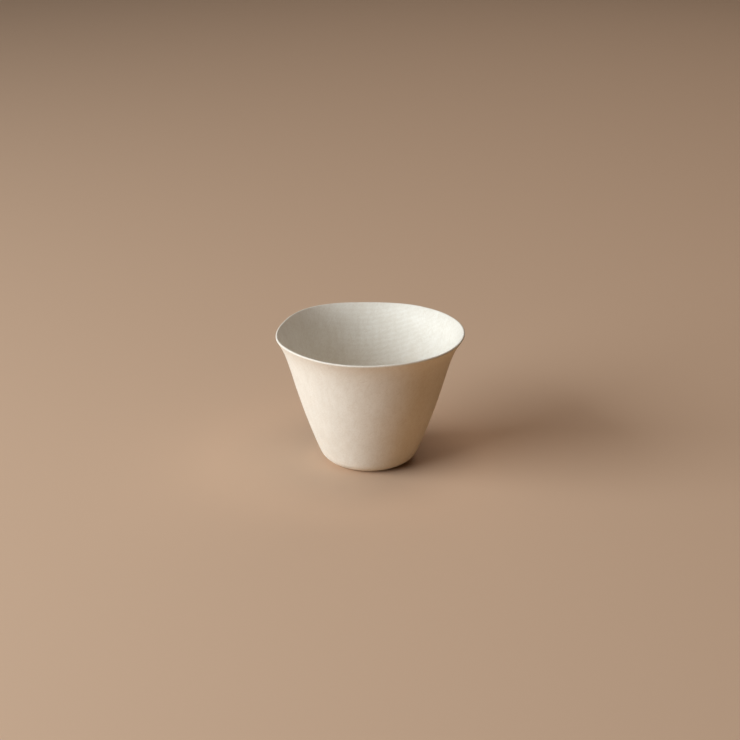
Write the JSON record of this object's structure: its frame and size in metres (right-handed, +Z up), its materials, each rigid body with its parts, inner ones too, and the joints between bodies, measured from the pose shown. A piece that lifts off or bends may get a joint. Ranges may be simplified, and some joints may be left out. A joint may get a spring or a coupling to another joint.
{
  "type": "moulded pulp cup",
  "caption": "Small handleless drinking cup pressed from paper pulp, tapering down to a narrow round foot, with a thin lip that flares outwards.",
  "frame": {"origin": "middle of the foot, in the plane it stands on", "axes": "+Z up the cup's axis to the mouth, -Y towards the picture's viewer, +X to the viewer's right"},
  "size_m": [0.0736, 0.0732, 0.053],
  "materials": {
    "pulp": "matte, smooth outside, fine screen lines inside"
  },
  "bodies": {
    "root": {"cup": "pulp"}
  },
  "joints": []
}
